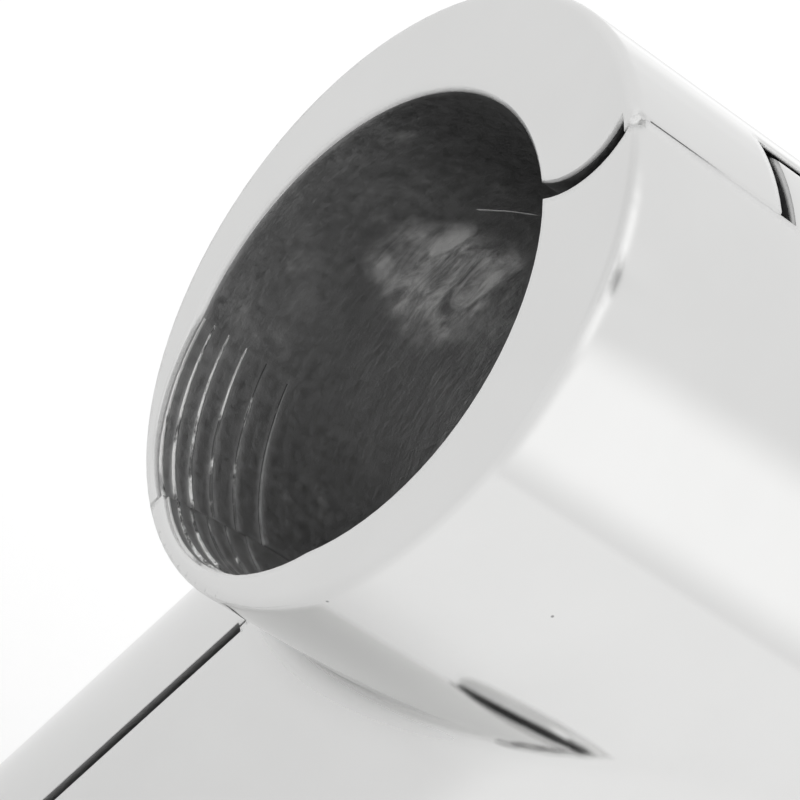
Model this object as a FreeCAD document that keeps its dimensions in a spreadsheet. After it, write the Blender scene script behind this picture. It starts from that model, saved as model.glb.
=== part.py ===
"""Hinged tee fitting for rail tube, in millimetres.

A collar closes round a rail, and a stem below it holds the end of a branch tube. Both are split
lengthwise in one plane. The two halves swing on a pin at the top of the collar, and a captive screw
in the neck of the stem draws them together.

Origin: middle of the rail's axis. X runs along the rail, Y across the split, Z up to the hinge.
"""
import FreeCAD, Part
import os
import Sketcher
from FreeCAD import Placement, Rotation, Vector

doc = FreeCAD.newDocument("hinged_tee")
sheet = doc.addObject("Spreadsheet::Sheet", "sizes")

SIZES = [
    # Tubes and walls
    ("rail_diameter", 25.4, "outside diameter of the rail"),
    ("branch_diameter", 25.4, "outside diameter of the branch tube"),
    ("tube_clearance", 0.1, "radial room round either tube"),
    ("collar_length", 50.8, "collar along the rail"),
    ("collar_wall", 4.0, "mean wall of the collar"),
    ("collar_shift", 2.3, "collar's outside moved up, for a thicker wall at the hinge"),
    ("stem_inset", 0.5, "stem's outside in from the collar's, each side"),
    ("neck_length", 14.2, "solid metal between the rail and the branch tube"),
    ("socket_depth", 23.0, "how far the branch tube goes in"),
    # Edges
    ("saddle_radius", 3.0, "hollow between collar and stem"),
    ("rim_radius", 0.5, "rounding of the collar's ends outside, and bevel of the stem's end"),
    ("mouth_chamfer", 0.2, "bevel of the open ends inside"),
    # Split
    ("collar_gap", 0.2, "room between the halves at the collar"),
    ("stem_gap", 0.75, "room between the halves along the stem"),
    # Steps turned in the wall of the bore, inside one mouth and beside the split
    ("step_count", 6, "steps from the mouth in"),
    ("step_depth", 0.9, "depth of the outermost step"),
    ("step_reach", 6.5, "how far the steps of the far half run in"),
    ("step_share", 0.8, "reach of the near half's steps, as a share of the far half's"),
    ("step_spread", 1.6, "how fast the steps lengthen from the mouth in, 1 for equal steps"),
    ("step_arc", 42.0, "half the arc that a half's steps are cut on, in degrees"),
    ("far_turn", 6.0, "middle of that arc in the far half, from the split, in degrees"),
    ("near_turn", 28.0, "middle of that arc in the near half, from the split, in degrees"),
    # Hinge
    ("knuckle_count", 5, "knuckles along the collar, an odd number"),
    ("knuckle_gap", 1.0, "room between two knuckles, along the pin"),
    ("end_knuckle", 10.1, "length of the knuckle at either end"),
    ("pin_drop", 0.35, "pin below the middle of the wall at the hinge"),
    ("barrel_radius", 3.7, "outside of a knuckle"),
    ("far_lip", 4.55, "radius of a far knuckle's outer lip"),
    ("lip_thickness", 0.8, "depth of that lip below the collar's outside"),
    ("lip_gap", 0.15, "room between that lip and the near half"),
    ("tip_length", 0.6, "length of a blunted tip of the near half, at either end"),
    ("near_gap", 0.35, "room round a near knuckle, which sets how far the hinge opens"),
    ("pin_diameter", 3.0, "hinge pin"),
    ("pin_cover", 3.0, "metal over the blind end of the pin"),
    ("pin_end_gap", 0.2, "room past the pin's blind end"),
    ("pin_chamfer", 0.4, "edge of the pin's blind end"),
    ("pin_snug", 0.01, "radial room in the far knuckles, which hold the pin"),
    ("pin_running", 0.05, "radial room in the near knuckles, which turn on it"),
    # Clamp screw
    ("screw_diameter", 6.0, "thread of the screw"),
    ("screw_running", 0.1, "radial room round the thread"),
    ("thread_length", 5.0, "thread at the screw's tip"),
    ("waist_diameter", 4.7, "plain waist between head and thread"),
    ("head_diameter", 10.0, "screw head"),
    ("head_height", 6.0, "screw head"),
    ("head_clearance", 0.5, "radial room round the head"),
    ("head_rounding", 2.0, "rounded edge of the head"),
    ("screw_chamfer", 0.5, "edge of the tip"),
    ("seat_depth", 7.8, "metal under the head, out from the split"),
    ("tip_setback", 0.1, "tip of the slackened screw behind the near half's face"),
    ("tapped_depth", 8.0, "tapped hole in the far half"),
    ("key_size", 5.0, "hexagon of the screw, across its flats"),
    ("key_depth", 3.0, "hexagon of the screw"),
    # Cutting tools
    ("overrun", 2.0, "how far a cut runs past the metal"),
]

for row, (alias, size, note) in enumerate(SIZES, 1):
    sheet.set(f"A{row}", alias)
    sheet.set(f"B{row}", str(size))
    sheet.set(f"C{row}", note)
    sheet.setAlias(f"B{row}", alias)
doc.recompute()

# Sizes that follow from the sheet
BORE_RADIUS = "(sizes.rail_diameter / 2 + sizes.tube_clearance)"
SOCKET_RADIUS = "(sizes.branch_diameter / 2 + sizes.tube_clearance)"
COLLAR_RADIUS = f"({BORE_RADIUS} + sizes.collar_wall)"
STEM_RADIUS = f"({COLLAR_RADIUS} - sizes.stem_inset)"
SOCKET_TOP = f"(-{BORE_RADIUS} - sizes.neck_length)"
STEM_END = f"({SOCKET_TOP} - sizes.socket_depth)"
NECK_MIDDLE = f"(-{BORE_RADIUS} - sizes.neck_length / 2)"
SADDLE_END = f"(sizes.collar_shift - {COLLAR_RADIUS} - sizes.saddle_radius)"
COLLAR_END = "(sizes.collar_length / 2)"
SPAN = f"({COLLAR_RADIUS} + sizes.overrun)"
PIN_HEIGHT = f"(({BORE_RADIUS} + {COLLAR_RADIUS} + sizes.collar_shift) / 2 - sizes.pin_drop)"
INNER_SPAN = "(sizes.collar_length - 2 * sizes.end_knuckle - sizes.knuckle_gap)"
INNER_PITCH = f"({INNER_SPAN} / (sizes.knuckle_count - 2))"
SCREW_REST = "(-sizes.stem_gap / 2 - sizes.tip_setback - sizes.thread_length - sizes.seat_depth)"

TURN = {
    "x": Rotation(Vector(0, 1, 0), 90),
    "y": Rotation(Vector(1, 0, 0), -90),
    "z": Rotation(),
}
KNUCKLES = range(int(sheet.get("knuckle_count")))
FAR_KNUCKLES = KNUCKLES[0::2]
NEAR_KNUCKLES = KNUCKLES[1::2]
STEPS = range(int(sheet.get("step_count")))


def place(thing, axis, x="0", y="0", z="0"):
    """Turns a thing's own Z to the named axis and binds its place."""
    thing.Placement = Placement(Vector(), TURN[axis])
    for letter, expression in zip("xyz", (x, y, z)):
        thing.setExpression(f"Placement.Base.{letter}", expression)
    return thing


def cylinder(name, axis, radius, length, **start):
    """A cylinder that runs from its start along the named axis."""
    made = doc.addObject("Part::Cylinder", name)
    made.setExpression("Radius", radius)
    made.setExpression("Height", length)
    return place(made, axis, **start)


def box(name, length, width, height, **corner):
    """A box that runs from its lowest corner along X, Y and Z."""
    made = doc.addObject("Part::Box", name)
    for side, expression in (("Length", length), ("Width", width), ("Height", height)):
        made.setExpression(side, expression)
    return place(made, "z", **corner)


def fuse(name, *things):
    """One solid from several."""
    made = doc.addObject("Part::MultiFuse", name)
    made.Shapes = list(things)
    made.Refine = True
    return made


def cut(name, base, *tools):
    """The base less every tool."""
    made = doc.addObject("Part::Cut", name)
    made.Base = base
    made.Tool = tools[0] if len(tools) == 1 else fuse(f"{name}_tools", *tools)
    made.Refine = True
    return made


def common(name, base, tool):
    """What the two things share."""
    made = doc.addObject("Part::Common", name)
    made.Base = base
    made.Tool = tool
    return made


def value(expression):
    """A number worked out from the sheet."""
    return sheet.evalExpression(expression)


def worked(name, kind, base, test, alias):
    """The base with a Fillet or Chamfer of a named size on every edge whose middle passes the test."""
    doc.recompute()
    size = sheet.get(alias)
    chosen = []
    for number, edge in enumerate(base.Shape.Edges, 1):
        if test(edge.valueAt((edge.FirstParameter + edge.LastParameter) / 2)):
            chosen.append((number, size, size))
    made = doc.addObject(f"Part::{kind}", name)
    made.Base = base
    made.Edges = chosen
    return made


def same(a, b):
    """Whether two lengths are equal."""
    return abs(a - b) < 1e-3


def make_casting():
    """Collar and stem in one, bored for the rail and the branch tube, before it is split."""
    collar = cylinder("collar", "x", COLLAR_RADIUS, "sizes.collar_length",
                      x=f"-{COLLAR_END}", z="sizes.collar_shift")
    stem = cylinder("stem", "z", STEM_RADIUS, f"sizes.collar_shift - {STEM_END}", z=STEM_END)
    blank = fuse("blank", collar, stem)

    stem_radius, stem_end = value(STEM_RADIUS), value(STEM_END)
    collar_radius, collar_end = value(COLLAR_RADIUS), value(COLLAR_END)
    bore_radius, socket_radius = value(BORE_RADIUS), value(SOCKET_RADIUS)
    shift = sheet.get("collar_shift")

    def round_collar(point):
        return Vector(0, point.y, point.z - shift).Length

    def round_rail(point):
        return Vector(0, point.y, point.z).Length

    def round_stem(point):
        return Vector(point.x, point.y, 0).Length

    def on_saddle(point):
        return same(round_collar(point), collar_radius) and same(round_stem(point), stem_radius)

    def on_rim(point):
        return same(abs(point.x), collar_end) and same(round_collar(point), collar_radius)

    def on_foot(point):
        return same(point.z, stem_end) and same(round_stem(point), stem_radius)

    def on_mouth(point):
        if same(abs(point.x), collar_end):
            return same(round_rail(point), bore_radius)
        return same(point.z, stem_end) and same(round_stem(point), socket_radius)

    saddled = worked("saddled", "Fillet", blank, on_saddle, "saddle_radius")
    bore = cylinder("bore", "x", BORE_RADIUS, "sizes.collar_length + 2 * sizes.overrun",
                    x=f"-{COLLAR_END} - sizes.overrun")
    socket = cylinder("socket", "z", SOCKET_RADIUS, "sizes.socket_depth + sizes.overrun",
                      z=f"{STEM_END} - sizes.overrun")
    bored = cut("bored", saddled, bore, socket)
    rimmed = worked("rimmed", "Fillet", bored, on_rim, "rim_radius")
    footed = worked("footed", "Chamfer", rimmed, on_foot, "rim_radius")
    return worked("casting", "Chamfer", footed, on_mouth, "mouth_chamfer")


def knuckle_start(number):
    """Where a knuckle begins along the pin."""
    if number == KNUCKLES[0]:
        return f"-{COLLAR_END}"
    return f"(-{COLLAR_END} + sizes.end_knuckle + sizes.knuckle_gap + {number - 1} * {INNER_PITCH})"


def knuckle_length(number):
    """How long a knuckle is: the two at the ends have a length of their own."""
    if number in (KNUCKLES[0], KNUCKLES[-1]):
        return "sizes.end_knuckle"
    return f"({INNER_PITCH} - sizes.knuckle_gap)"


def barrel(name, number, radius):
    """A round bar about the pin, as long as one knuckle."""
    return cylinder(f"{name}_{number}", "x", radius, knuckle_length(number),
                    x=knuckle_start(number), z=PIN_HEIGHT)


def seat(name, number, radius):
    """The room for one knuckle in the other half, with the gaps at the knuckle's ends."""
    return cylinder(f"{name}_{number}", "x", radius, f"{knuckle_length(number)} + 2 * sizes.knuckle_gap",
                    x=f"{knuckle_start(number)} - sizes.knuckle_gap", z=PIN_HEIGHT)


def tip_cut(name, radius, start):
    """Blunts the sharp tip where a seat comes out at the collar's end, as deep as the rim's rounding."""
    reach = f"({COLLAR_RADIUS} - sizes.rim_radius)"
    rise = f"({PIN_HEIGHT} - sizes.collar_shift)"
    made = box(name, "sizes.tip_length + sizes.overrun", radius, SPAN, x=start, z="sizes.collar_shift")
    made.Placement.Rotation = Rotation(Vector(1, 0, 0), 1)
    made.setExpression("Placement.Rotation.Angle",
                       f"acos(({reach}^2 + {rise}^2 - ({radius})^2) / (2 * {reach} * {rise}))")
    return made


def pin_hole(name, clearance):
    """The hole for the pin, drilled from the collar's +X end and blind at the other."""
    return cylinder(name, "x", f"sizes.pin_diameter / 2 + {clearance}",
                    "sizes.collar_length - sizes.pin_cover + sizes.overrun",
                    x=f"-{COLLAR_END} + sizes.pin_cover", z=PIN_HEIGHT)


def step_tool(name, number, reach, turn):
    """One step's cutter, off the bore's centre so that it only touches the wall beside the split."""
    depth = f"(sizes.step_depth * (1 - {number} / sizes.step_count))"
    rise = f"({BORE_RADIUS} * (1 - cos(sizes.step_arc)) + {depth})"
    offset = f"({depth} * ({depth} + 2 * {BORE_RADIUS}) / (2 * {rise}))"
    length = f"({reach} * ({number + 1} / sizes.step_count)^sizes.step_spread)"
    return cylinder(f"{name}_step_{number}", "x", f"{BORE_RADIUS} + {depth} - {offset}",
                    f"{length} + sizes.overrun", x=f"-{COLLAR_END} - sizes.overrun",
                    y=f"{offset} * sin({turn})", z=f"-{offset} * cos({turn})")


def half_of(name, casting, low, reach, turn):
    """One side of the casting: the split is narrow at the collar and wider along the stem."""
    side = box(f"{name}_side", f"sizes.collar_length + 2 * {SPAN}", SPAN, f"2 * {SPAN} - {STEM_END}",
               x=f"-{COLLAR_END} - {SPAN}", y=low, z=f"{STEM_END} - sizes.overrun")
    relief = box(f"{name}_relief", f"2 * {SPAN}", "sizes.stem_gap",
                 f"{SADDLE_END} - {STEM_END} + sizes.overrun",
                 x=f"-{SPAN}", y="-sizes.stem_gap / 2", z=f"{STEM_END} - sizes.overrun")
    steps = [step_tool(name, number, reach, turn) for number in STEPS]
    return cut(f"{name}_blank", common(f"{name}_sawn", casting, side), relief, *steps)


def make_far_half(casting):
    """The half that holds the pin: its knuckles have a lip that covers the gap from outside."""
    blank = half_of("far", casting, "sizes.collar_gap / 2", "sizes.step_reach", "sizes.far_turn")
    seats = [seat("near_room", number, "sizes.barrel_radius + sizes.near_gap") for number in NEAR_KNUCKLES]
    barrels = [barrel("far_barrel", number, "sizes.barrel_radius") for number in FAR_KNUCKLES]
    lips = [barrel("far_lip", number, "sizes.far_lip") for number in FAR_KNUCKLES]
    core = cylinder("lip_core", "x", f"{COLLAR_RADIUS} - sizes.lip_thickness", "sizes.collar_length",
                    x=f"-{COLLAR_END}", z="sizes.collar_shift")
    rings = cut("lip_rings", fuse("lip_bars", *lips), core)
    knuckles = common("far_knuckles", casting, fuse("far_bars", *barrels, rings))
    hinged = fuse("far_hinged", cut("far_seated", blank, *seats), knuckles)
    tapped = cylinder("tapped_hole", "y", "sizes.screw_diameter / 2 + sizes.screw_running",
                      "sizes.tapped_depth + sizes.overrun", y="-sizes.overrun", z=NECK_MIDDLE)
    return cut("far_half", hinged, pin_hole("snug_hole", "sizes.pin_snug"), tapped)


def make_near_half(casting):
    """The half that swings: its knuckles turn on the pin, and its stem holds the screw."""
    blank = half_of("near", casting, f"-sizes.collar_gap / 2 - {SPAN}",
                    "sizes.step_reach * sizes.step_share", "-sizes.near_turn")
    room = "sizes.far_lip + sizes.lip_gap"
    seats = [seat("far_room", number, room) for number in FAR_KNUCKLES]
    tips = [
        tip_cut("left_tip", room, f"-{COLLAR_END} - sizes.overrun"),
        tip_cut("right_tip", room, f"{COLLAR_END} - sizes.tip_length"),
    ]
    barrels = [barrel("near_barrel", number, "sizes.barrel_radius") for number in NEAR_KNUCKLES]
    knuckles = common("near_knuckles", casting, fuse("near_bars", *barrels))
    hinged = fuse("near_hinged", cut("near_seated", blank, *seats, *tips), knuckles)
    shank_hole = cylinder("shank_hole", "y", "sizes.screw_diameter / 2 + sizes.screw_running",
                          SPAN, y=f"-{SPAN}", z=NECK_MIDDLE)
    head_hole = cylinder("head_hole", "y", "sizes.head_diameter / 2 + sizes.head_clearance",
                         f"{SPAN} - sizes.seat_depth", y=f"-{SPAN}", z=NECK_MIDDLE)
    return cut("near_half", hinged, pin_hole("running_hole", "sizes.pin_running"), shank_hole, head_hole)


def new_sketch(body, role, name):
    """An empty sketch on one of the body's own planes."""
    plane = next(f for f in body.Origin.OriginFeatures if f.Role == role)
    sketch = body.newObject("Sketcher::SketchObject", name)
    sketch.AttachmentSupport = [(plane, "")]
    sketch.MapMode = "FlatFace"
    return sketch


def outline(sketch, corners):
    """A closed outline of straight lines whose corners are bound to the sheet."""
    points = [Vector(value(x), value(y), 0) for x, y in corners]
    for index, point in enumerate(points):
        sketch.addGeometry(Part.LineSegment(point, points[(index + 1) % len(points)]), False)
    for index in range(len(points)):
        following = (index + 1) % len(points)
        sketch.addConstraint(Sketcher.Constraint("Coincident", index, 2, following, 1))
    for index, corner in enumerate(corners):
        for kind, axis, expression in (("DistanceX", -2, corner[0]), ("DistanceY", -1, corner[1])):
            if expression == "0":
                sketch.addConstraint(Sketcher.Constraint("PointOnObject", index, 1, axis))
                continue
            name = f"{kind}_{index}"
            number = sketch.addConstraint(Sketcher.Constraint(kind, -1, 1, index, 1, value(expression)))
            sketch.renameConstraint(number, name)
            sketch.setExpression(f"Constraints.{name}", expression)


def turned(name, profile):
    """A body turned about its own Z from a profile of (radius, height) corners."""
    body = doc.addObject("PartDesign::Body", name)
    sketch = new_sketch(body, "XZ_Plane", f"{name}_profile")
    outline(sketch, profile)
    turn = body.newObject("PartDesign::Revolution", f"{name}_turned")
    turn.Profile = sketch
    turn.ReferenceAxis = (sketch, ["V_Axis"])
    turn.Angle = 360
    return body


def make_hinge_pin():
    """A plain pin: chamfered at its blind end, flush with the collar at the other."""
    radius = "sizes.pin_diameter / 2"
    length = "sizes.collar_length - sizes.pin_cover"
    body = turned("hinge_pin", [
        ("0", "sizes.pin_end_gap"),
        (f"{radius} - sizes.pin_chamfer", "sizes.pin_end_gap"),
        (radius, "sizes.pin_end_gap + sizes.pin_chamfer"),
        (radius, length),
        ("0", length),
    ])
    return place(body, "x", x=f"-{COLLAR_END} + sizes.pin_cover", z=PIN_HEIGHT)


def make_clamp_screw():
    """A captive socket head screw, slackened: its thread is still in the near half."""
    head, waist, thread = (f"sizes.{part}_diameter / 2" for part in ("head", "waist", "screw"))
    tip = "sizes.seat_depth + sizes.thread_length"
    body = turned("clamp_screw", [
        ("0", "-sizes.head_height"),
        (head, "-sizes.head_height"),
        (head, "0"),
        (waist, "0"),
        (waist, "sizes.seat_depth"),
        (thread, "sizes.seat_depth"),
        (thread, f"{tip} - sizes.screw_chamfer"),
        (f"{thread} - sizes.screw_chamfer", tip),
        ("0", tip),
    ])
    doc.recompute()
    top = -sheet.get("head_height")
    square = body.Tip
    edges = [f"Edge{number}" for number, edge in enumerate(square.Shape.Edges, 1)
             if same(edge.BoundBox.ZMin, top) and same(edge.BoundBox.ZMax, top)]
    rounding = body.newObject("PartDesign::Fillet", "head_edge")
    rounding.Base = (square, edges)
    rounding.setExpression("Radius", "sizes.head_rounding")
    doc.recompute()
    solid_volume = body.Shape.Volume
    sketch = new_sketch(body, "XY_Plane", "key_hexagon")
    sketch.setExpression("AttachmentOffset.Base.z", "-sizes.head_height")
    corner = "(sizes.key_size / sqrt(3))"
    outline(sketch, [
        (corner, "0"),
        (f"{corner} / 2", "sizes.key_size / 2"),
        (f"-{corner} / 2", "sizes.key_size / 2"),
        (f"-{corner}", "0"),
        (f"-{corner} / 2", "-sizes.key_size / 2"),
        (f"{corner} / 2", "-sizes.key_size / 2"),
    ])
    key = body.newObject("PartDesign::Pocket", "key_pocket")
    key.Profile = sketch
    key.setExpression("Length", "sizes.key_depth")
    key.Reversed = True
    doc.recompute()
    if body.Shape.Volume >= solid_volume:
        raise RuntimeError("the screw's hexagon cuts nothing")
    return place(body, "y", y=SCREW_REST, z=NECK_MIDDLE)


casting = make_casting()
SUBPARTS = [make_far_half(casting), make_near_half(casting), make_hinge_pin(), make_clamp_screw()]
doc.recompute()

for thing in doc.Objects:
    if "Invalid" in thing.State or "Error" in thing.State:
        raise RuntimeError(f"{thing.Label} failed: {thing.State}")
for part in SUBPARTS:
    if part.Shape.isNull() or not part.Shape.isValid() or len(part.Shape.Solids) != 1:
        raise RuntimeError(f"{part.Label} isn't one valid solid")

os.makedirs("parts", exist_ok=True)
for part in SUBPARTS:
    part.Shape.exportStep(f"parts/{part.Label}.step")
    print(part.Label, round(part.Shape.Volume, 1), part.Shape.BoundBox)
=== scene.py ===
"""Hinged tee fitting for rail tube: finishes of the two halves and the pin, the detailed clamp screw and a
plain studio stage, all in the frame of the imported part, in metres."""
import math

import bpy
from bpy.props import FloatProperty, FloatVectorProperty, PointerProperty
from mathutils import Matrix, Vector


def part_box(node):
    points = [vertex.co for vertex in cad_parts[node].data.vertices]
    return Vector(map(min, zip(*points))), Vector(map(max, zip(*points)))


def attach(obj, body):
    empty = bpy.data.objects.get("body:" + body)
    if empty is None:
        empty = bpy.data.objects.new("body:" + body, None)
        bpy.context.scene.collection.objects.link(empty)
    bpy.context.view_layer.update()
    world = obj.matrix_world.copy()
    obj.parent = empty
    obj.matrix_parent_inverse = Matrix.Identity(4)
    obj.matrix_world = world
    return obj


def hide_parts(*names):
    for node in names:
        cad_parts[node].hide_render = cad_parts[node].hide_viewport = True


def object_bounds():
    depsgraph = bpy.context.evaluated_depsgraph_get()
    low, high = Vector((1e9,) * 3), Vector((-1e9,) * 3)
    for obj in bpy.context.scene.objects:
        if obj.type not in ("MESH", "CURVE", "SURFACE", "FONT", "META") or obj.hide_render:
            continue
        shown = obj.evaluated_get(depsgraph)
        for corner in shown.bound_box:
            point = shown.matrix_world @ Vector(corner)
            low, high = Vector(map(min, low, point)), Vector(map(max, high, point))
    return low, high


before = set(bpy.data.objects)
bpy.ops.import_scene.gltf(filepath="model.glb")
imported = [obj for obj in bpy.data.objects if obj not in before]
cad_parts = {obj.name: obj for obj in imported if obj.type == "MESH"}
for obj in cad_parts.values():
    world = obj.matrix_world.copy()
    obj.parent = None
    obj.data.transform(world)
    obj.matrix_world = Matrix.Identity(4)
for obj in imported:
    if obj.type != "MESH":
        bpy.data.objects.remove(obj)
CAD_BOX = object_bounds()

bl_info = {
    "name": "Hinged tee fitting",
    "version": (1, 0, 0),
    "blender": (4, 5, 0),
    "location": "View3D > Sidebar > Tee",
    "description": "Finishes, clamp screw and stage of a hinged tee fitting for rail tube",
    "category": "Object",
}

MM = 0.001

# Marks on the halves, in millimetres
# The steps' edges in the bore's mouth get a painted highlight on the broken burrs and painted shade between
# them
STEP_COUNT = 6
STEP_REACH = 6.5
STEP_SHARE = 0.8
STEP_SPREAD = 1.6
STEP_WOBBLE = 0.12
BURR_LIFT = 0.015
PATCH_CENTRE = (-14.0, 12.5, -1.2)
PATCH_REACH = (5.6, 6.0, 4.6)
SCRATCH = ((-16.7, 3.3), (-14.2, 5.4))
SCRATCH_WIDTH = 0.07
SCRATCH_BOW = 0.5
PITS = ((-24.82, -14.86, -5.52), (-16.86, -16.75, 1.03))
PIT_RADIUS = 0.11

# Where the finish of the halves changes, in millimetres
MASK_SLACK = 0.05
FACE_DEPTH = 0.2
LIP_DEPTH = 0.3
LIP_START = -24.4
LIP_FADE = (-22.5, -18.5)
EDGE_SOFTNESS = 0.7
RIM_WEAR = 0.9
DARKER_SPAN = (2.0, 9.0)
PALE_SPAN = (-10.0, -2.0)
WALL_SPAN = (9.0, 10.0)
SPLIT_SPAN = (0.5, 0.7)
SPLIT_DROP = 1.5
HOLLOW_FADE = 0.4
HOLLOW_SPAN = (-12.5, -9.5)
POLISH_BUMP = 0.012
BARE_BUMP = 0.06

# How rough the rubbed patch is, how much wear and the saddle's hollow make the polish duller, how much darker
# the bare metal gets towards the hinge and in the painted shade on the steps' edges, and how far burrs rise
# over the grain
PATCH_ROUGHNESS = 0.9
WEAR_DULLS = 0.10
HOLLOW_DULLS = 0.30
DARKENING = 0.55
BURR_RISE = 2.0

# Screw and pin, in millimetres
HEXAGON_LIP = 0.08
HEAD_BEVEL = 0.15
KEY_CONE = 0.6
TIP_INSET = 0.1
# Painted shade deep in the hexagon socket: how far inside its flats and how deep it fades in
RECESS_SPAN = (0.6, 0.1)
RECESS_DEPTH = (0.2, 1.6)
BASE_BAND_SPAN = (0.7, 1.1)
SCREW_WEAR = 0.3
SCREW_BUMP = 0.005
PIN_WEAR = 0.6
PIN_BUMP = 0.004

# How finely the screw's mesh is divided: round it, over the head's rounding and in each turn of the thread
SCREW_SIDES = 240
ARC_STEPS = 16
THREAD_STEPS = 12

# Floor, in metres
FLOOR_HALF = 3.0
FLOOR_DROP = 0.0002
FRONT_FADE = 0.06

# Camera: frame width in millimetres, clip distances in metres and its directions
SENSOR_WIDTH = 36.0
CLIP = (0.005, 20.0)
CAMERA_RIGHT = (0.70778, -0.16974, 0.68574)
CAMERA_AHEAD = (0.53877, 0.75754, -0.36859)

# Cards that show in the polish: name, azimuth and elevation in degrees, distance, width, height,
# brightness, roll in radians
CARD_FADE = 0.3
CARDS = (
    ("front_softbox", 141.0, 22.0, 0.50, 0.58, 0.46, 1.27, 0.0),
    ("back_panel", 34.0, -4.0, 0.50, 0.45, 0.30, 1.14, 0.0),
    ("overhead_softbox", 180.0, 70.7, 0.40, 0.50, 0.60, 1.38, 0.0),
    ("dark_bar", 146.5, 66.3, 0.38, 0.226, 0.075, 0.05, 0.624),
    ("side_panel", -75.0, 28.0, 0.50, 0.50, 0.50, 0.80, 0.0),
)

SCREW_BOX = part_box("clamp_screw")
HALVES_LOW, HALVES_HIGH = CAD_BOX


class FinishSettings(bpy.types.PropertyGroup):
    """Colours of the metal, and where the polish ends."""
    polished: FloatVectorProperty(
        name="Polished", description="Buffed outside of the halves", subtype="COLOR",
        default=(0.70, 0.70, 0.695))
    # Bare is the rough metal's own colour, and its darkness is also painted shade in the split and the hinge
    # gap
    bare: FloatVectorProperty(
        name="Bare", description="Rough metal in the bores and the split", subtype="COLOR",
        default=(0.30, 0.30, 0.30))
    clouded: FloatVectorProperty(
        name="Clouded", description="Paler clouds in the bores", subtype="COLOR",
        default=(0.42, 0.42, 0.42))
    # Rubbed: bright worn metal on the rubbed patch and the scratch, and a painted highlight on the burrs of
    # the bore's steps
    rubbed: FloatVectorProperty(
        name="Rubbed", description="Rubbed patch and burrs in the bore", subtype="COLOR",
        default=(0.85, 0.85, 0.84))
    # A black band round the base of the screw head, where it meets the stem
    base_band_colour: FloatVectorProperty(
        name="Residue", description="Polishing residue on the screw head", subtype="COLOR",
        default=(0.03, 0.03, 0.03))
    ground: FloatVectorProperty(
        name="Ground", description="Ground steel of the pin", subtype="COLOR",
        default=(0.60, 0.60, 0.59))
    turned: FloatVectorProperty(
        name="Turned", description="Turned steel of the screw", subtype="COLOR",
        default=(0.56, 0.56, 0.55))
    gloss: FloatProperty(
        name="Polish roughness", description="Roughness of the buffed outside", subtype="FACTOR",
        min=0.0, max=1.0, default=0.055)
    collar_radius: FloatProperty(
        name="Collar radius", description="Outside of the collar", unit="LENGTH", default=16.8 * MM)
    collar_shift: FloatProperty(
        name="Collar shift", description="Height of the collar's outside above the rail's axis",
        unit="LENGTH", default=2.3 * MM)
    bore_radius: FloatProperty(
        name="Bore radius", description="Bore for the rail", unit="LENGTH", default=12.8 * MM)
    stem_radius: FloatProperty(
        name="Stem radius", description="Outside of the stem", unit="LENGTH", default=16.3 * MM)
    rim: FloatProperty(
        name="Rim", description="Rounding of the collar's ends", unit="LENGTH", default=0.5 * MM)


class ScrewSettings(bpy.types.PropertyGroup):
    """Sizes of the clamp screw."""
    head_height: FloatProperty(
        name="Head height", description="Height of the screw head", unit="LENGTH", default=6.0 * MM)
    rounding: FloatProperty(
        name="Rounding", description="Rounded edge of the head", unit="LENGTH", default=2.0 * MM)
    chamfer: FloatProperty(
        name="Chamfer", description="Edge of the tip", unit="LENGTH", default=0.5 * MM)
    waist_radius: FloatProperty(
        name="Waist radius", description="Plain waist under the head", unit="LENGTH", default=2.35 * MM)
    waist_length: FloatProperty(
        name="Waist length", description="From the head to the thread", unit="LENGTH", default=7.8 * MM)
    thread_radius: FloatProperty(
        name="Thread radius", description="Crest of the thread", unit="LENGTH", default=3.0 * MM)
    thread_pitch: FloatProperty(
        name="Thread pitch", description="From crest to crest", unit="LENGTH", default=1.0 * MM)
    thread_depth: FloatProperty(
        name="Thread depth", description="From crest to root", unit="LENGTH", default=0.55 * MM)
    key_size: FloatProperty(
        name="Key size", description="Hexagon across its flats", unit="LENGTH", default=5.0 * MM)
    key_depth: FloatProperty(
        name="Key depth", description="Depth of the hexagon", unit="LENGTH", default=3.0 * MM)


class StageSettings(bpy.types.PropertyGroup):
    """Floor, light and camera."""
    floor: FloatVectorProperty(
        name="Floor", description="Colour of the floor", subtype="COLOR", default=(0.76, 0.76, 0.76))
    floor_lift: FloatProperty(
        name="Floor lift", description="Light added to the floor where the camera sees it", default=0.28)
    mirror_lift: FloatProperty(
        name="Mirror lift", description="Light added to the floor where the metal shows it", default=0.19)
    front_lift: FloatProperty(
        name="Front lift", description="The same in front of the screw's side", default=0.34)
    lens: FloatProperty(
        name="Lens", description="Focal length of the camera on a 36 mm frame", default=232.1)
    camera_place: FloatVectorProperty(
        name="Camera place", description="Where the camera stands", subtype="TRANSLATION",
        default=(-0.1555, -0.19064, 0.09076))


def put(tree, kind, inputs=None, **settings):
    """A shader node with its settings made and its inputs set or linked."""
    made = tree.nodes.new(kind)
    for name, value in settings.items():
        setattr(made, name, value)
    for key, value in (inputs or {}).items():
        if isinstance(value, bpy.types.NodeSocket):
            tree.links.new(value, made.inputs[key])
        else:
            made.inputs[key].default_value = value
    return made


def sum_of(tree, operation, *values, clamp=False):
    """The output of a Math node on sockets or numbers."""
    inputs = dict(enumerate(values))
    return put(tree, "ShaderNodeMath", inputs, operation=operation, use_clamp=clamp).outputs[0]


def both(tree, *masks):
    """Where every mask is 1."""
    made = masks[0]
    for mask in masks[1:]:
        made = sum_of(tree, "MULTIPLY", made, mask)
    return made


def either(tree, *masks):
    """Where any mask is 1."""
    made = masks[0]
    for mask in masks[1:]:
        made = sum_of(tree, "MAXIMUM", made, mask)
    return made


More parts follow.
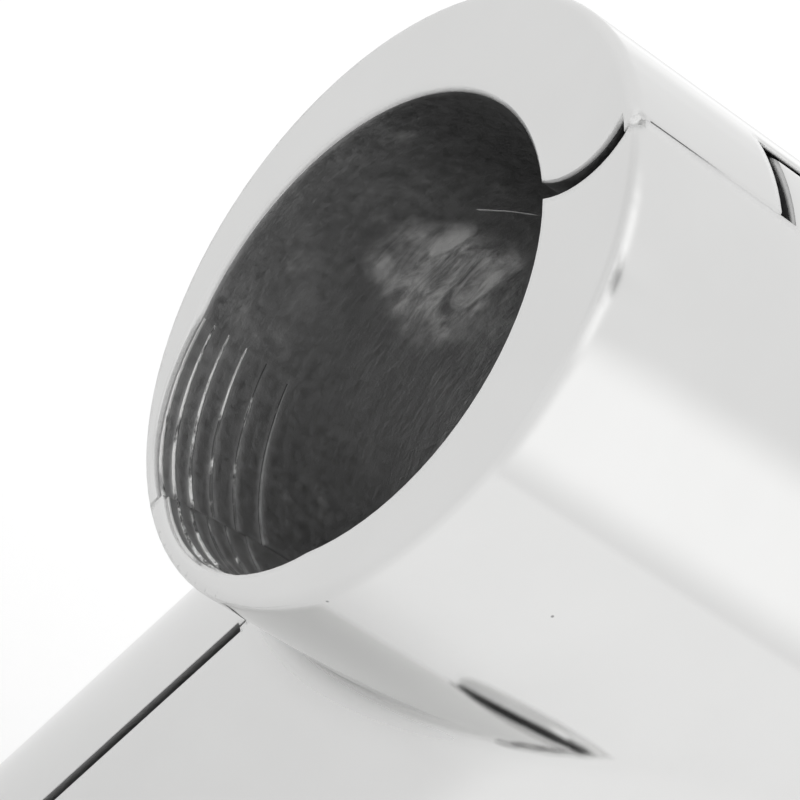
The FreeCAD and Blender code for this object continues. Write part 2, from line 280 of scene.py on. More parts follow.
def ramp(tree, value, low, high, out_low=0.0, out_high=1.0):
    """A value taken smoothly from one span to another."""
    inputs = {"Value": value, "From Min": low, "From Max": high, "To Min": out_low, "To Max": out_high}
    return put(tree, "ShaderNodeMapRange", inputs, interpolation_type="SMOOTHSTEP").outputs[0]


def mixed_colour(tree, mask, first, second):
    """The first colour where the mask is 0, the second where it is 1."""
    made = put(tree, "ShaderNodeMix", data_type="RGBA")
    sockets = [s for s in made.inputs if s.enabled]
    for socket, value in zip(sockets, (mask, first, second)):
        if isinstance(value, bpy.types.NodeSocket):
            tree.links.new(value, socket)
        else:
            socket.default_value = value
    return next(s for s in made.outputs if s.enabled)


def mixed_value(tree, mask, first, second):
    """The first value where the mask is 0, the second where it is 1."""
    return put(tree, "ShaderNodeMix", {"Factor": mask, "A": first, "B": second}).outputs[0]


def noise(tree, place, scale, detail=3.0, roughness=0.5, distortion=0.0):
    """A noise about 0.5, at a scale in cells a metre."""
    inputs = {"Vector": place, "Scale": scale, "Detail": detail, "Roughness": roughness,
              "Distortion": distortion}
    return put(tree, "ShaderNodeTexNoise", inputs).outputs[0]


def stretched(tree, place, factors):
    """Coordinates scaled along each axis."""
    return put(tree, "ShaderNodeVectorMath", {0: place, 1: factors}, operation="MULTIPLY").outputs[0]


def opaque(colour):
    """A colour with full alpha."""
    return (*colour, 1.0)


def new_group(name, inputs, outputs):
    """An empty node group, its input sockets by name and its output node."""
    tree = bpy.data.node_groups.new(name, "ShaderNodeTree")
    for label, kind, default in inputs:
        socket = tree.interface.new_socket(label, in_out="INPUT", socket_type=f"NodeSocket{kind}")
        if default is not None:
            socket.default_value = default
    for label, kind in outputs:
        tree.interface.new_socket(label, in_out="OUTPUT", socket_type=f"NodeSocket{kind}")
    start = tree.nodes.new("NodeGroupInput")
    return tree, start.outputs, tree.nodes.new("NodeGroupOutput")


def deliver(tree, end, **values):
    """Links each value to the group's output of that name, with spaces for underscores."""
    for name, value in values.items():
        tree.links.new(value, end.inputs[name.replace("_", " ")])


def buffed_group():
    """Buffing: faint hairlines, a slow waviness and a little haze."""
    name = "buffed_metal"
    if name in bpy.data.node_groups:
        return bpy.data.node_groups[name]
    tree, given, end = new_group(
        name,
        [("Place", "Vector", None), ("Roughness", "Float", 0.06), ("Haze", "Float", 0.03)],
        [("Roughness", "Float"), ("Height", "Float"), ("Shade", "Float")])
    place = given["Place"]
    hairs = noise(tree, stretched(tree, place, (1.0, 14.0, 14.0)), 900.0, 4.0, 0.6)
    cross = noise(tree, stretched(tree, place, (12.0, 1.0, 1.0)), 1100.0, 4.0, 0.6)
    wave = noise(tree, place, 90.0, 1.0)
    cloud = noise(tree, place, 160.0, 4.0, 0.55)
    fine = sum_of(tree, "MULTIPLY", sum_of(tree, "ADD", hairs, cross), 0.04)
    height = sum_of(tree, "ADD", wave, fine)
    haze = sum_of(tree, "MULTIPLY", ramp(tree, cloud, 0.35, 0.75), given["Haze"])
    deliver(tree, end, Roughness=sum_of(tree, "ADD", given["Roughness"], haze), Height=height,
            Shade=ramp(tree, cloud, 0.2, 0.8, 0.985, 1.01))
    return tree


def cast_group():
    """Rough bare metal: grain, cloudy rubbed patches and streaks along the turning."""
    name = "bare_metal"
    if name in bpy.data.node_groups:
        return bpy.data.node_groups[name]
    tree, given, end = new_group(
        name,
        [("Place", "Vector", None), ("Grain", "Float", 1800.0)],
        [("Clouds", "Float"), ("Roughness", "Float"), ("Height", "Float")])
    place = given["Place"]
    grain = noise(tree, place, given["Grain"], 5.0, 0.65)
    streaks = noise(tree, stretched(tree, place, (5.0, 1.0, 1.0)), 420.0, 5.0, 0.6, 0.4)
    clouds = noise(tree, place, 210.0, 5.0, 0.6, 0.5)
    patches = both(tree, ramp(tree, clouds, 0.42, 0.7), ramp(tree, streaks, 0.3, 0.7, 0.35, 1.0))
    height = sum_of(tree, "ADD", grain, streaks)
    deliver(tree, end, Clouds=patches, Roughness=ramp(tree, grain, 0.25, 0.75, 0.42, 0.62), Height=height)
    return tree


def rubbed_edge_group():
    """Wear along an edge: 1 at the edge, broken up, fading out at the given width."""
    name = "rubbed_edge"
    if name in bpy.data.node_groups:
        return bpy.data.node_groups[name]
    tree, given, end = new_group(
        name,
        [("Place", "Vector", None), ("Distance", "Float", 0.0), ("Width", "Float", 0.4 * MM)],
        [("Wear", "Float")])
    share = sum_of(tree, "DIVIDE", given["Distance"], given["Width"])
    near = ramp(tree, share, 0.0, 1.0, 1.0, 0.0)
    broken = ramp(tree, noise(tree, given["Place"], 1500.0, 4.0, 0.6), 0.38, 0.62)
    deliver(tree, end, Wear=both(tree, near, broken))
    return tree


def distances(tree, place, sizes):
    """Each point's distance along the collar and from the axes of collar, bore and stem."""
    parts = put(tree, "ShaderNodeSeparateXYZ", {0: place}).outputs
    lifted = sum_of(tree, "SUBTRACT", parts["Z"], sizes.collar_shift)

    def length_of(first, second):
        squares = sum_of(tree, "ADD", sum_of(tree, "MULTIPLY", first, first),
                         sum_of(tree, "MULTIPLY", second, second))
        return sum_of(tree, "SQRT", squares)

    return {
        "along": sum_of(tree, "ABSOLUTE", parts["X"]),
        "collar": length_of(parts["Y"], lifted),
        "bore": length_of(parts["Y"], parts["Z"]),
        "stem": length_of(parts["X"], parts["Y"]),
        "x": parts["X"], "y": parts["Y"], "z": parts["Z"],
    }


def polish_mask(tree, at, sizes, low, end):
    """1 on the buffed surfaces: outside, lips of the hinge gap, ring faces, rims and the stem's end."""
    slack = MASK_SLACK * MM

    def above(value, limit):
        return sum_of(tree, "GREATER_THAN", value, limit - slack)

    def below(value, limit):
        return sum_of(tree, "LESS_THAN", value, limit + slack)

    outside = both(tree, above(at["collar"], sizes.collar_radius),
                   either(tree, above(at["stem"], sizes.stem_radius), above(at["z"], 0.0)))
    clear = either(tree, ramp(tree, at["x"], LIP_FADE[0] * MM, LIP_FADE[1] * MM),
                   below(at["x"], LIP_START * MM))
    lips = both(tree, above(at["collar"], sizes.collar_radius - LIP_DEPTH * MM),
                above(at["z"], sizes.bore_radius), clear)
    rims = both(tree, above(at["along"], end - sizes.rim),
                above(at["collar"], sizes.collar_radius - sizes.rim))
    faces = above(at["along"], end - FACE_DEPTH * MM)
    foot = below(at["z"], low)
    foot_rim = both(tree, below(at["z"], low + sizes.rim), above(at["stem"], sizes.stem_radius - sizes.rim))
    return either(tree, outside, lips, rims, faces, foot, foot_rim)


def inside(tree, at, centre, reach):
    """1 at the centre, falling to 0 at the reach along each axis."""
    squares = None
    for name, middle, size in zip("xyz", centre, reach):
        share = sum_of(tree, "DIVIDE", sum_of(tree, "SUBTRACT", at[name], middle * MM), size * MM)
        square = sum_of(tree, "MULTIPLY", share, share)
        squares = square if squares is None else sum_of(tree, "ADD", squares, square)
    return sum_of(tree, "SUBTRACT", 1.0, sum_of(tree, "SQRT", squares), clamp=True)


def rubbed_patch(tree, place, at):
    """A patch of the far bore wall that was rubbed bright, in streaks round the bore."""
    near = inside(tree, at, PATCH_CENTRE, PATCH_REACH)
    streaks = noise(tree, stretched(tree, place, (3.0, 1.0, 1.0)), 330.0, 6.0, 0.65, 0.6)
    clouds = noise(tree, place, 330.0, 3.0, 0.6)
    marked = sum_of(tree, "ADD", streaks, sum_of(tree, "MULTIPLY", clouds, 0.6))
    ragged = sum_of(tree, "ADD", near, sum_of(tree, "SUBTRACT", clouds, 0.5))
    return both(tree, ramp(tree, ragged, 0.05, 0.60), ramp(tree, marked, 0.58, 0.94, 0.05, 1.0))


def scratch(tree, place, at):
    """One long scratch in the far bore wall."""
    (x0, z0), (x1, z1) = SCRATCH
    length = math.hypot(x1 - x0, z1 - z0)
    along = ((x1 - x0) / length, (z1 - z0) / length)
    dx = sum_of(tree, "SUBTRACT", at["x"], x0 * MM)
    dz = sum_of(tree, "SUBTRACT", at["z"], z0 * MM)
    run = sum_of(tree, "ADD", sum_of(tree, "MULTIPLY", dx, along[0]), sum_of(tree, "MULTIPLY", dz, along[1]))
    off = sum_of(tree, "SUBTRACT", sum_of(tree, "MULTIPLY", dz, along[0]),
                 sum_of(tree, "MULTIPLY", dx, along[1]))
    uneven = sum_of(tree, "SUBTRACT", noise(tree, place, 300.0, 2.0), 0.5)
    bow = sum_of(tree, "MULTIPLY", uneven, SCRATCH_BOW * MM)
    off = sum_of(tree, "ABSOLUTE", sum_of(tree, "ADD", off, bow))
    width = SCRATCH_WIDTH * MM
    return both(tree, ramp(tree, off, 0.4 * width, width, 1.0, 0.0),
                ramp(tree, run, 0.0, 0.2 * MM), ramp(tree, run, 0.8 * length * MM, length * MM, 1.0, 0.0),
                sum_of(tree, "GREATER_THAN", at["y"], 6.0 * MM))


def step_edge_highlights_and_shade(tree, place, at, sizes, mouth):
    """Masks along the edges of the steps in the bore's mouth: broken burrs painted bright as a highlight, and
    the lengths between them painted dark as shade.
    """
    far = sum_of(tree, "GREATER_THAN", at["y"], 0.0)
    reach = mixed_value(tree, far, STEP_REACH * STEP_SHARE * MM, STEP_REACH * MM)
    uneven = sum_of(tree, "SUBTRACT", noise(tree, place, 500.0, 3.0), 0.5)
    wobble = sum_of(tree, "MULTIPLY", uneven, STEP_WOBBLE * MM)
    depth = sum_of(tree, "ADD", sum_of(tree, "SUBTRACT", at["x"], mouth), wobble)
    share = sum_of(tree, "MAXIMUM", sum_of(tree, "DIVIDE", depth, reach), 0.0)
    count = sum_of(tree, "MULTIPLY", sum_of(tree, "POWER", share, 1 / STEP_SPREAD), STEP_COUNT)
    past = both(tree, sum_of(tree, "FRACT", sum_of(tree, "ADD", count, 0.06)), count)
    edge = both(tree, ramp(tree, past, 0.0, 0.06), ramp(tree, past, 0.22, 0.40, 1.0, 0.0))
    patchy = noise(tree, stretched(tree, place, (3.0, 1.0, 1.0)), 420.0, 4.0, 0.6)
    rarer = sum_of(tree, "MULTIPLY", sum_of(tree, "SUBTRACT", count, 2.0), 0.07)
    broken = ramp(tree, sum_of(tree, "SUBTRACT", patchy, rarer), 0.36, 0.50)
    edges = both(tree, edge, sum_of(tree, "GREATER_THAN", count, 0.9),
                 sum_of(tree, "LESS_THAN", count, STEP_COUNT + 0.4),
                 sum_of(tree, "LESS_THAN", at["z"], 0.0),
                 sum_of(tree, "GREATER_THAN", at["bore"], sizes.bore_radius + BURR_LIFT * MM))
    return both(tree, edges, broken), both(tree, edges, sum_of(tree, "SUBTRACT", 1.0, broken))


def new_material(name):
    """An empty material with its shader, output and object coordinates."""
    made = bpy.data.materials.new(name)
    made.use_nodes = True
    tree = made.node_tree
    tree.nodes.clear()
    shader = put(tree, "ShaderNodeBsdfPrincipled")
    put(tree, "ShaderNodeOutputMaterial", {"Surface": shader.outputs[0]})
    place = put(tree, "ShaderNodeTexCoord").outputs["Object"]
    return made, tree, shader, place


def placed_group(tree, group, inputs):
    """A node group placed in a material: its outputs."""
    return put(tree, "ShaderNodeGroup", inputs, node_tree=group).outputs


def polished_steel(sizes):
    """Cast halves: buffed outside, rough and dark in the bores, the split and the hinge, where the dark
    colour is partly painted shade; painted highlights and painted shade mark the steps in the bores' mouths.
    """
    material, tree, shader, place = new_material("polished_steel")
    at = distances(tree, place, sizes)
    end = HALVES_HIGH[0]
    polished = polish_mask(tree, at, sizes, HALVES_LOW[2], end)
    buffed = placed_group(tree, buffed_group(), {"Place": place, "Roughness": sizes.gloss, "Haze": 0.02})
    cast = placed_group(tree, cast_group(), {"Place": place, "Grain": 1800.0})

    to_rim = sum_of(tree, "ADD", sum_of(tree, "ABSOLUTE", sum_of(tree, "SUBTRACT", at["along"], end)),
                    sum_of(tree, "ABSOLUTE", sum_of(tree, "SUBTRACT", at["collar"], sizes.collar_radius)))
    edge = {"Place": place, "Distance": to_rim, "Width": RIM_WEAR * MM}
    wear = placed_group(tree, rubbed_edge_group(), edge)["Wear"]

    bare_colour = mixed_colour(tree, cast["Clouds"], opaque(sizes.bare), opaque(sizes.clouded))
    # Darker towards the hinge, and paler towards the bottom of the bore
    darker_bare = tuple(DARKENING * c for c in sizes.bare)
    upper = ramp(tree, at["z"], DARKER_SPAN[0] * MM, DARKER_SPAN[1] * MM)
    bare_colour = mixed_colour(tree, upper, bare_colour, opaque(darker_bare))
    lower = both(tree, ramp(tree, at["z"], PALE_SPAN[0] * MM, PALE_SPAN[1] * MM, 0.9, 0.0),
                 ramp(tree, at["bore"], WALL_SPAN[0] * MM, WALL_SPAN[1] * MM))
    bare_colour = mixed_colour(tree, lower, bare_colour, opaque(sizes.clouded))
    # The split walls keep the plain bare colour, without the paler clouds and lower wall: painted shade in
    # the gap
    from_split = sum_of(tree, "ABSOLUTE", at["y"])
    split = both(tree, ramp(tree, from_split, SPLIT_SPAN[0] * MM, SPLIT_SPAN[1] * MM, 1.0, 0.0),
                 sum_of(tree, "LESS_THAN", at["z"], -sizes.bore_radius - SPLIT_DROP * MM))
    bare_colour = mixed_colour(tree, split, bare_colour, opaque(sizes.bare))
    burr_highlights, riser_shade = step_edge_highlights_and_shade(tree, place, at, sizes, HALVES_LOW[0])
    # Painted shade on the steps' edges between the burrs, in the darker bare colour
    bare_colour = mixed_colour(tree, riser_shade, bare_colour, opaque(darker_bare))
    # The rubbed patch and the scratch are bright worn metal; on the burrs the bright colour is a painted
    # highlight
    burrs = either(tree, scratch(tree, place, at), burr_highlights)
    patch = rubbed_patch(tree, place, at)
    marks = either(tree, patch, burrs)
    bare_colour = mixed_colour(tree, marks, bare_colour, opaque(sizes.rubbed))
    shine = put(tree, "ShaderNodeVectorMath", {0: sizes.polished, "Scale": buffed["Shade"]},
                operation="SCALE")
    pits = either(tree, *(inside(tree, at, pit, (PIT_RADIUS,) * 3) for pit in PITS))
    pitted = mixed_colour(tree, ramp(tree, pits, 0.0, 0.6), shine.outputs[0], opaque(sizes.bare))
    colour = mixed_colour(tree, polished, bare_colour, pitted)
    tree.links.new(colour, shader.inputs["Base Color"])
    shader.inputs["Metallic"].default_value = 1.0

    off_collar = sum_of(tree, "SUBTRACT", at["collar"], sizes.collar_radius)
    off_stem = sum_of(tree, "SUBTRACT", at["stem"], sizes.stem_radius)
    hollow = both(tree, ramp(tree, off_collar, 0.0, HOLLOW_FADE * MM),
                  ramp(tree, off_stem, 0.0, HOLLOW_FADE * MM),
                  ramp(tree, at["x"], HOLLOW_SPAN[0] * MM, HOLLOW_SPAN[1] * MM, 1.0, 0.0))
    gloss = sum_of(tree, "ADD", buffed["Roughness"], sum_of(tree, "MULTIPLY", wear, WEAR_DULLS))
    gloss = sum_of(tree, "ADD", gloss, sum_of(tree, "MULTIPLY", hollow, HOLLOW_DULLS))
    matt = mixed_value(tree, patch, cast["Roughness"], PATCH_ROUGHNESS)
    tree.links.new(mixed_value(tree, polished, matt, gloss), shader.inputs["Roughness"])

    eased = put(tree, "ShaderNodeBevel", {"Radius": EDGE_SOFTNESS * MM}, samples=4)
    smooth = put(tree, "ShaderNodeBump", {
        "Height": both(tree, buffed["Height"], polished), "Distance": POLISH_BUMP * MM, "Strength": 1.0,
        "Normal": eased.outputs[0]})
    raised = sum_of(tree, "ADD", cast["Height"], sum_of(tree, "MULTIPLY", burrs, BURR_RISE))
    rough = put(tree, "ShaderNodeBump", {
        "Height": both(tree, raised, sum_of(tree, "SUBTRACT", 1.0, polished)),
        "Distance": BARE_BUMP * MM, "Strength": 0.7, "Normal": smooth.outputs[0]})
    tree.links.new(rough.outputs[0], shader.inputs["Normal"])
    return material


def pin_steel(sizes):
    """Ground pin: fine lines round it, and wear at its end."""
    material, tree, shader, place = new_material("pin_steel")
    parts = put(tree, "ShaderNodeSeparateXYZ", {0: place}).outputs
    lines = noise(tree, stretched(tree, place, (30.0, 1.0, 1.0)), 700.0, 4.0, 0.6)
    cast = placed_group(tree, cast_group(), {"Place": place, "Grain": 4000.0})
    to_end = sum_of(tree, "SUBTRACT", HALVES_HIGH[0], parts["X"])
    edge = {"Place": place, "Distance": to_end, "Width": PIN_WEAR * MM}
    wear = placed_group(tree, rubbed_edge_group(), edge)["Wear"]
    darker_tone = tuple(0.7 * c for c in sizes.ground)
    tone = mixed_colour(tree, cast["Clouds"], opaque(sizes.ground), opaque(darker_tone))
    tree.links.new(mixed_colour(tree, wear, tone, opaque(sizes.polished)), shader.inputs["Base Color"])
    shader.inputs["Metallic"].default_value = 1.0
    tree.links.new(ramp(tree, lines, 0.3, 0.7, 0.2, 0.38), shader.inputs["Roughness"])
    bump = put(tree, "ShaderNodeBump", {"Height": lines, "Distance": PIN_BUMP * MM, "Strength": 1.0})
    tree.links.new(bump.outputs[0], shader.inputs["Normal"])
    return material


def screw_steel(sizes, screw):
    """Turned screw: polished head with a black band round its base, lines round the shank, painted shade deep
    in the hexagon, worn edges.
    """
    material, tree, shader, place = new_material("screw_steel")
    low, high = SCREW_BOX
    top, axis_height = low[1], (low[2] + high[2]) / 2
    parts = put(tree, "ShaderNodeSeparateXYZ", {0: place}).outputs
    lines = noise(tree, stretched(tree, place, (1.0, 24.0, 1.0)), 700.0, 4.0, 0.6)
    cast = placed_group(tree, cast_group(), {"Place": place, "Grain": 4000.0})
    lifted = sum_of(tree, "SUBTRACT", parts["Z"], axis_height)
    squares = sum_of(tree, "ADD", sum_of(tree, "MULTIPLY", parts["X"], parts["X"]),
                     sum_of(tree, "MULTIPLY", lifted, lifted))
    radius = sum_of(tree, "SQRT", squares)
    down = sum_of(tree, "SUBTRACT", parts["Y"], top)
    flat = screw.key_size / 2
    # Painted shade deep in the hexagon socket, in the darker tone
    socket_shade = both(tree, ramp(tree, radius, flat - RECESS_SPAN[0] * MM, flat - RECESS_SPAN[1] * MM, 1.0, 0.0),
                  ramp(tree, down, RECESS_DEPTH[0] * MM, RECESS_DEPTH[1] * MM))
    darker_tone = tuple(0.45 * c for c in sizes.turned)
    tone = mixed_colour(tree, either(tree, socket_shade, cast["Clouds"]), opaque(sizes.turned), opaque(darker_tone))
    shank, seat = screw.thread_radius, screw.head_height
    head = both(tree, ramp(tree, radius, shank - 0.1 * MM, shank),
                ramp(tree, down, seat - 0.2 * MM, seat - 0.1 * MM, 1.0, 0.0))
    tone = mixed_colour(tree, head, tone, opaque(sizes.polished))
    across = sum_of(tree, "SQRT", sum_of(tree, "ADD", sum_of(tree, "MULTIPLY", parts["X"], parts["X"]),
                                         sum_of(tree, "MULTIPLY", parts["Y"], parts["Y"])))
    # A black band round the base of the screw head, next to the stem's outside
    base_reach = sum_of(tree, "ADD", across, sum_of(tree, "MULTIPLY", noise(tree, place, 500.0, 3.0), 0.1 * MM))
    base_band = ramp(tree, base_reach, sizes.stem_radius + BASE_BAND_SPAN[0] * MM, sizes.stem_radius + BASE_BAND_SPAN[1] * MM,
                 1.0, 0.0)
    tone = mixed_colour(tree, both(tree, head, base_band), tone, opaque(sizes.base_band_colour))
    to_edge = sum_of(tree, "ABSOLUTE", sum_of(tree, "SUBTRACT", radius, shank))
    edge = {"Place": place, "Distance": to_edge, "Width": SCREW_WEAR * MM}
    wear = placed_group(tree, rubbed_edge_group(), edge)["Wear"]
    tree.links.new(mixed_colour(tree, wear, tone, opaque(sizes.polished)), shader.inputs["Base Color"])
    shader.inputs["Metallic"].default_value = 1.0
    turned = ramp(tree, lines, 0.3, 0.7, 0.24, 0.42)
    sheen = ramp(tree, lines, 0.3, 0.7, 0.05, 0.08)
    tree.links.new(mixed_value(tree, head, turned, sheen), shader.inputs["Roughness"])
    height = both(tree, lines, sum_of(tree, "SUBTRACT", 1.0, head))
    bump = put(tree, "ShaderNodeBump", {"Height": height, "Distance": SCREW_BUMP * MM, "Strength": 1.0})
    tree.links.new(bump.outputs[0], shader.inputs["Normal"])
    return material


def finish_node(name, material):
    """Gives a CAD node its material."""
    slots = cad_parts[name].data.materials
    slots.clear()
    slots.append(material)


def mesh_object(name, points, faces, sharp=math.radians(35)):
    """A smooth shaded mesh object whose edges over the given angle stay sharp."""
    mesh = bpy.data.meshes.new(name)
    mesh.from_pydata(points, [], faces)
    mesh.validate()
    mesh.shade_smooth()
    mesh.set_sharp_from_angle(angle=sharp)
    made = bpy.data.objects.new(name, mesh)
    bpy.context.scene.collection.objects.link(made)
    return made


def screw_rings(screw, radius, length, count):
    """Rings of (radius at each angle, height), from the hexagon's bottom out and down to the tip."""
    turn = 2 * math.pi
    angles = [turn * k / count for k in range(count)]

    def round_ring(size, height):
        return [size] * count, height

    def hexagon(flat, height):
        sixth = turn / 6
        return [flat / 2 / math.cos((a + sixth / 2) % sixth - sixth / 2) for a in angles], height

    lip = HEXAGON_LIP * MM
    bevel = HEAD_BEVEL * MM
    corner = screw.key_size / math.sqrt(3)
    rings = [
        hexagon(screw.key_size, screw.key_depth),
        hexagon(screw.key_size, lip),
        round_ring(corner + lip, 0.0),
    ]
    for step in range(ARC_STEPS + 1):
        angle = math.pi / 2 * step / ARC_STEPS
        rings.append(round_ring(radius - screw.rounding * (1 - math.sin(angle)),
                                screw.rounding * (1 - math.cos(angle))))
    rings += [
        round_ring(radius, screw.head_height - bevel),
        round_ring(radius - bevel, screw.head_height),
        round_ring(screw.waist_radius + bevel, screw.head_height),
        round_ring(screw.waist_radius, screw.head_height + bevel),
    ]

    thread_start = screw.head_height + screw.waist_length
    rings.append(round_ring(screw.waist_radius, thread_start))
    turns = (length - thread_start) / screw.thread_pitch
    for step in range(1, int(turns * THREAD_STEPS)):
        height = thread_start + step * screw.thread_pitch / THREAD_STEPS
        fade_in = min(1.0, (height - thread_start) / (0.6 * screw.thread_pitch))
        limit = screw.thread_radius - max(0.0, height - (length - screw.chamfer))
        ring = []
        for a in angles:
            phase = (step / THREAD_STEPS - a / turn) % 1.0
            flank = min(1.0, max(0.0, 1.5 - abs(phase - 0.5) * 4.0))
            root = screw.thread_radius - screw.thread_depth
            ring.append(min(limit, screw.waist_radius + (root - screw.waist_radius) * fade_in
                            + screw.thread_depth * flank * fade_in))
        rings.append((ring, height))
    rings.append(round_ring(screw.thread_radius - screw.chamfer - TIP_INSET * MM, length))
    return angles, rings


def build_clamp_screw(screw):
    """The clamp screw in mesh code: hexagon, rounded head, waist and cut thread."""
    low, high = SCREW_BOX
    radius, length = (high[0] - low[0]) / 2, high[1] - low[1]
    axis_x, axis_z = (low[0] + high[0]) / 2, (low[2] + high[2]) / 2
    count = SCREW_SIDES
    angles, rings = screw_rings(screw, radius, length, count)
    points = [(axis_x, low[1] + screw.key_depth + KEY_CONE * MM, axis_z)]
    for radii, height in rings:
        for size, angle in zip(radii, angles):
            across, up = size * math.cos(angle), size * math.sin(angle)
            points.append((axis_x + across, low[1] + height, axis_z + up))
    points.append((axis_x, high[1], axis_z))
    last = len(points) - 1
    faces = []
    for k in range(count):
        faces.append((0, 1 + k, 1 + (k + 1) % count))
        tip = 1 + (len(rings) - 1) * count
        faces.append((last, tip + (k + 1) % count, tip + k))
    for row in range(len(rings) - 1):
        here, there = 1 + row * count, 1 + (row + 1) * count
        for k in range(count):
            after = (k + 1) % count
            faces.append((here + k, there + k, there + after, here + after))
    return mesh_object("clamp_screw_turned", points, faces)


def build_floor(stage):
    """A wide pale floor under the stem's end. It keeps the shadow, and is white where it is seen."""
    height = HALVES_LOW[2] - FLOOR_DROP
    signs = ((-1, -1), (1, -1), (1, 1), (-1, 1))
    corners = [(x * FLOOR_HALF, y * FLOOR_HALF, height) for x, y in signs]
    floor = mesh_object("studio_floor", corners, [(0, 1, 2, 3)])
    material = bpy.data.materials.new("studio_floor")
    material.use_nodes = True
    tree = material.node_tree
    tree.nodes.clear()
    matt = put(tree, "ShaderNodeBsdfDiffuse", {"Color": opaque(stage.floor)})
    paths = put(tree, "ShaderNodeLightPath").outputs
    parts = put(tree, "ShaderNodeSeparateXYZ", {0: put(tree, "ShaderNodeTexCoord").outputs["Object"]}).outputs
    ahead = sum_of(tree, "SUBTRACT", parts["X"], parts["Y"])
    mirrored = ramp(tree, ahead, 0.0, FRONT_FADE, stage.mirror_lift, stage.front_lift)
    shown = either(tree, paths["Is Glossy Ray"], paths["Is Transmission Ray"])
    glow = either(tree, sum_of(tree, "MULTIPLY", paths["Is Camera Ray"], stage.floor_lift),
                  sum_of(tree, "MULTIPLY", shown, mirrored))
    lift = put(tree, "ShaderNodeEmission", {"Strength": glow})
    total = put(tree, "ShaderNodeAddShader", {0: matt.outputs[0], 1: lift.outputs[0]})
    put(tree, "ShaderNodeOutputMaterial", {"Surface": total.outputs[0]})
    floor.data.materials.append(material)


def build_world():
    """An even white room."""
    world = bpy.data.worlds.new("white_room")
    bpy.context.scene.world = world
    world.use_nodes = True
    tree = world.node_tree
    tree.nodes.clear()
    room = put(tree, "ShaderNodeBackground", {"Color": (1.0, 1.0, 1.0, 1.0), "Strength": 1.0})
    put(tree, "ShaderNodeOutputWorld", {"Surface": room.outputs[0]})


def build_card(name, azimuth, elevation, distance, width, height, brightness, roll=0.0):
    """A flat card that faces the part and shows only in its reflections. Brightness 1 is the room's white,
    to which the card fades at its edges. Azimuth runs from +Y towards +X."""
    half_width, half_height = width / 2, height / 2
    corners = [(-half_width, -half_height, 0), (half_width, -half_height, 0),
               (half_width, half_height, 0), (-half_width, half_height, 0)]
    card = mesh_object(name, corners, [(0, 1, 2, 3)])
    flat = math.cos(elevation)
    ahead = Vector((math.sin(azimuth) * flat, math.cos(azimuth) * flat, math.sin(elevation)))
    turn = (-ahead).to_track_quat("Z", "Y").to_matrix() @ Matrix.Rotation(roll, 3, "Z")
    card.matrix_world = Matrix.Translation(ahead * distance) @ turn.to_4x4()
    material = bpy.data.materials.new(name)
    material.use_nodes = True
    tree = material.node_tree
    tree.nodes.clear()
    parts = put(tree, "ShaderNodeSeparateXYZ", {0: put(tree, "ShaderNodeTexCoord").outputs["Object"]}).outputs
    soft = CARD_FADE * min(width, height)
    across = ramp(tree, sum_of(tree, "ABSOLUTE", parts["X"]), half_width - soft, half_width, 1.0, 0.0)
    upright = ramp(tree, sum_of(tree, "ABSOLUTE", parts["Y"]), half_height - soft, half_height, 1.0, 0.0)
    glow = mixed_value(tree, both(tree, across, upright), 1.0, brightness)
    light = put(tree, "ShaderNodeEmission", {"Strength": glow})
    put(tree, "ShaderNodeOutputMaterial", {"Surface": light.outputs[0]})
    card.data.materials.append(material)
    card.visible_camera = False
    card.visible_diffuse = False
    card.visible_shadow = False


def build_camera(stage):
    """The camera close in front of the collar's open end, rolled so that the stem runs down to the left."""
    right = Vector(CAMERA_RIGHT).normalized()
    ahead = Vector(CAMERA_AHEAD)
    ahead = (ahead - right * right.dot(ahead)).normalized()
    turn = Matrix((right, right.cross(ahead), -ahead)).transposed()
    camera = bpy.data.objects.new("camera", bpy.data.cameras.new("camera"))
    bpy.context.scene.collection.objects.link(camera)
    camera.matrix_world = Matrix.Translation(stage.camera_place) @ turn.to_4x4()
    camera.data.sensor_width = SENSOR_WIDTH
    camera.data.lens = stage.lens
    camera.data.clip_start, camera.data.clip_end = CLIP
    bpy.context.scene.camera = camera


class TEE_OT_finish_halves(bpy.types.Operator):
    """Give the two halves their polished and bare steel"""
    bl_idname = "tee.finish_halves"
    bl_label = "Finish the halves"

    def execute(self, context):
        material = polished_steel(context.scene.tee_finish)
        for name in ("far_half", "near_half"):
            finish_node(name, material)
        return {"FINISHED"}


class TEE_OT_finish_pin(bpy.types.Operator):
    """Give the hinge pin its ground steel"""
    bl_idname = "tee.finish_pin"
    bl_label = "Finish the pin"

    def execute(self, context):
        finish_node("hinge_pin", pin_steel(context.scene.tee_finish))
        return {"FINISHED"}


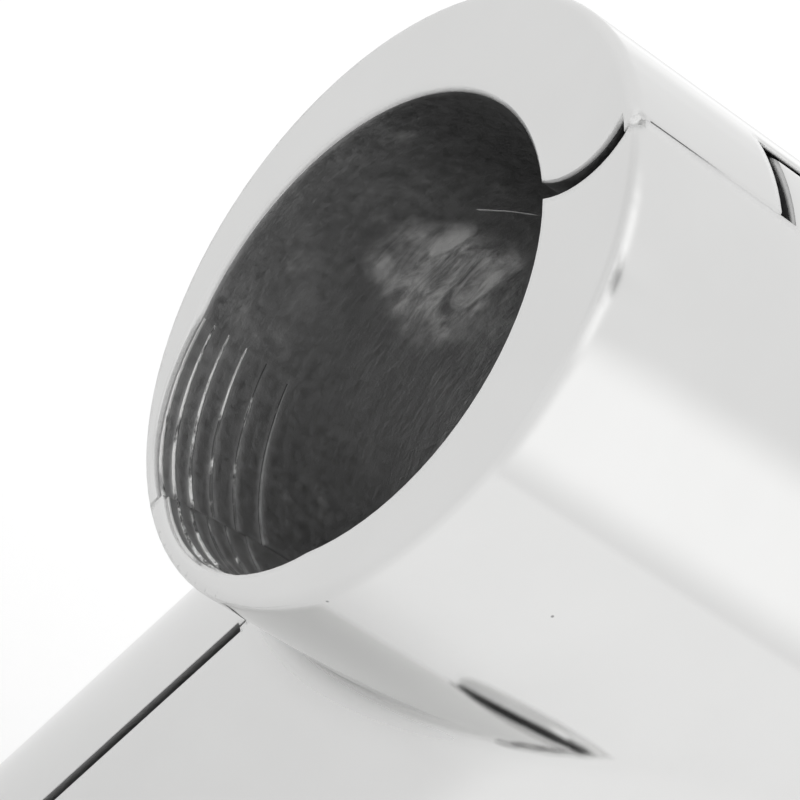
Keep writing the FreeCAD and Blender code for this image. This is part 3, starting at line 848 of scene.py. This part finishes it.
class TEE_OT_build_screw(bpy.types.Operator):
    """Build the clamp screw with its hexagon, rounded head and thread"""
    bl_idname = "tee.build_screw"
    bl_label = "Build the screw"

    def execute(self, context):
        settings = context.scene.tee_screw
        screw = build_clamp_screw(settings)
        screw.data.materials.append(screw_steel(context.scene.tee_finish, settings))
        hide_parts("clamp_screw")
        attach(screw, "screw")
        return {"FINISHED"}


class TEE_OT_build_stage(bpy.types.Operator):
    """Set up floor, light and camera"""
    bl_idname = "tee.build_stage"
    bl_label = "Set the stage"

    def execute(self, context):
        stage = context.scene.tee_stage
        context.scene.view_settings.view_transform = "Standard"
        build_floor(stage)
        build_world()
        for name, azimuth, elevation, *rest in CARDS:
            build_card(name, math.radians(azimuth), math.radians(elevation), *rest)
        build_camera(stage)
        return {"FINISHED"}


class TEE_PT_panel(bpy.types.Panel):
    """Sizes, colours and steps of the tee fitting"""
    bl_idname = "TEE_PT_panel"
    bl_label = "Hinged tee fitting"
    bl_space_type = "VIEW_3D"
    bl_region_type = "UI"
    bl_category = "Tee"

    def draw(self, context):
        for group in (context.scene.tee_finish, context.scene.tee_screw, context.scene.tee_stage):
            box = self.layout.box()
            for name in group.__annotations__:
                box.prop(group, name)
        for step in STEPS:
            self.layout.operator(step.bl_idname)


STEPS = (TEE_OT_finish_halves, TEE_OT_finish_pin, TEE_OT_build_screw, TEE_OT_build_stage)
SETTINGS = (("tee_finish", FinishSettings), ("tee_screw", ScrewSettings), ("tee_stage", StageSettings))


def register():
    """Adds the settings, the steps and the panel."""
    for name, group in SETTINGS:
        bpy.utils.register_class(group)
        setattr(bpy.types.Scene, name, PointerProperty(type=group))
    for step in STEPS:
        bpy.utils.register_class(step)
    bpy.utils.register_class(TEE_PT_panel)


def unregister():
    """Takes out the panel, the steps and the settings."""
    bpy.utils.unregister_class(TEE_PT_panel)
    for step in reversed(STEPS):
        bpy.utils.unregister_class(step)
    for name, group in reversed(SETTINGS):
        delattr(bpy.types.Scene, name)
        bpy.utils.unregister_class(group)


def main():
    """Registers the add-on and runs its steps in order."""
    register()
    bpy.ops.tee.finish_halves()
    bpy.ops.tee.finish_pin()
    bpy.ops.tee.build_screw()
    bpy.ops.tee.build_stage()


if __name__ == "__main__":
    main()
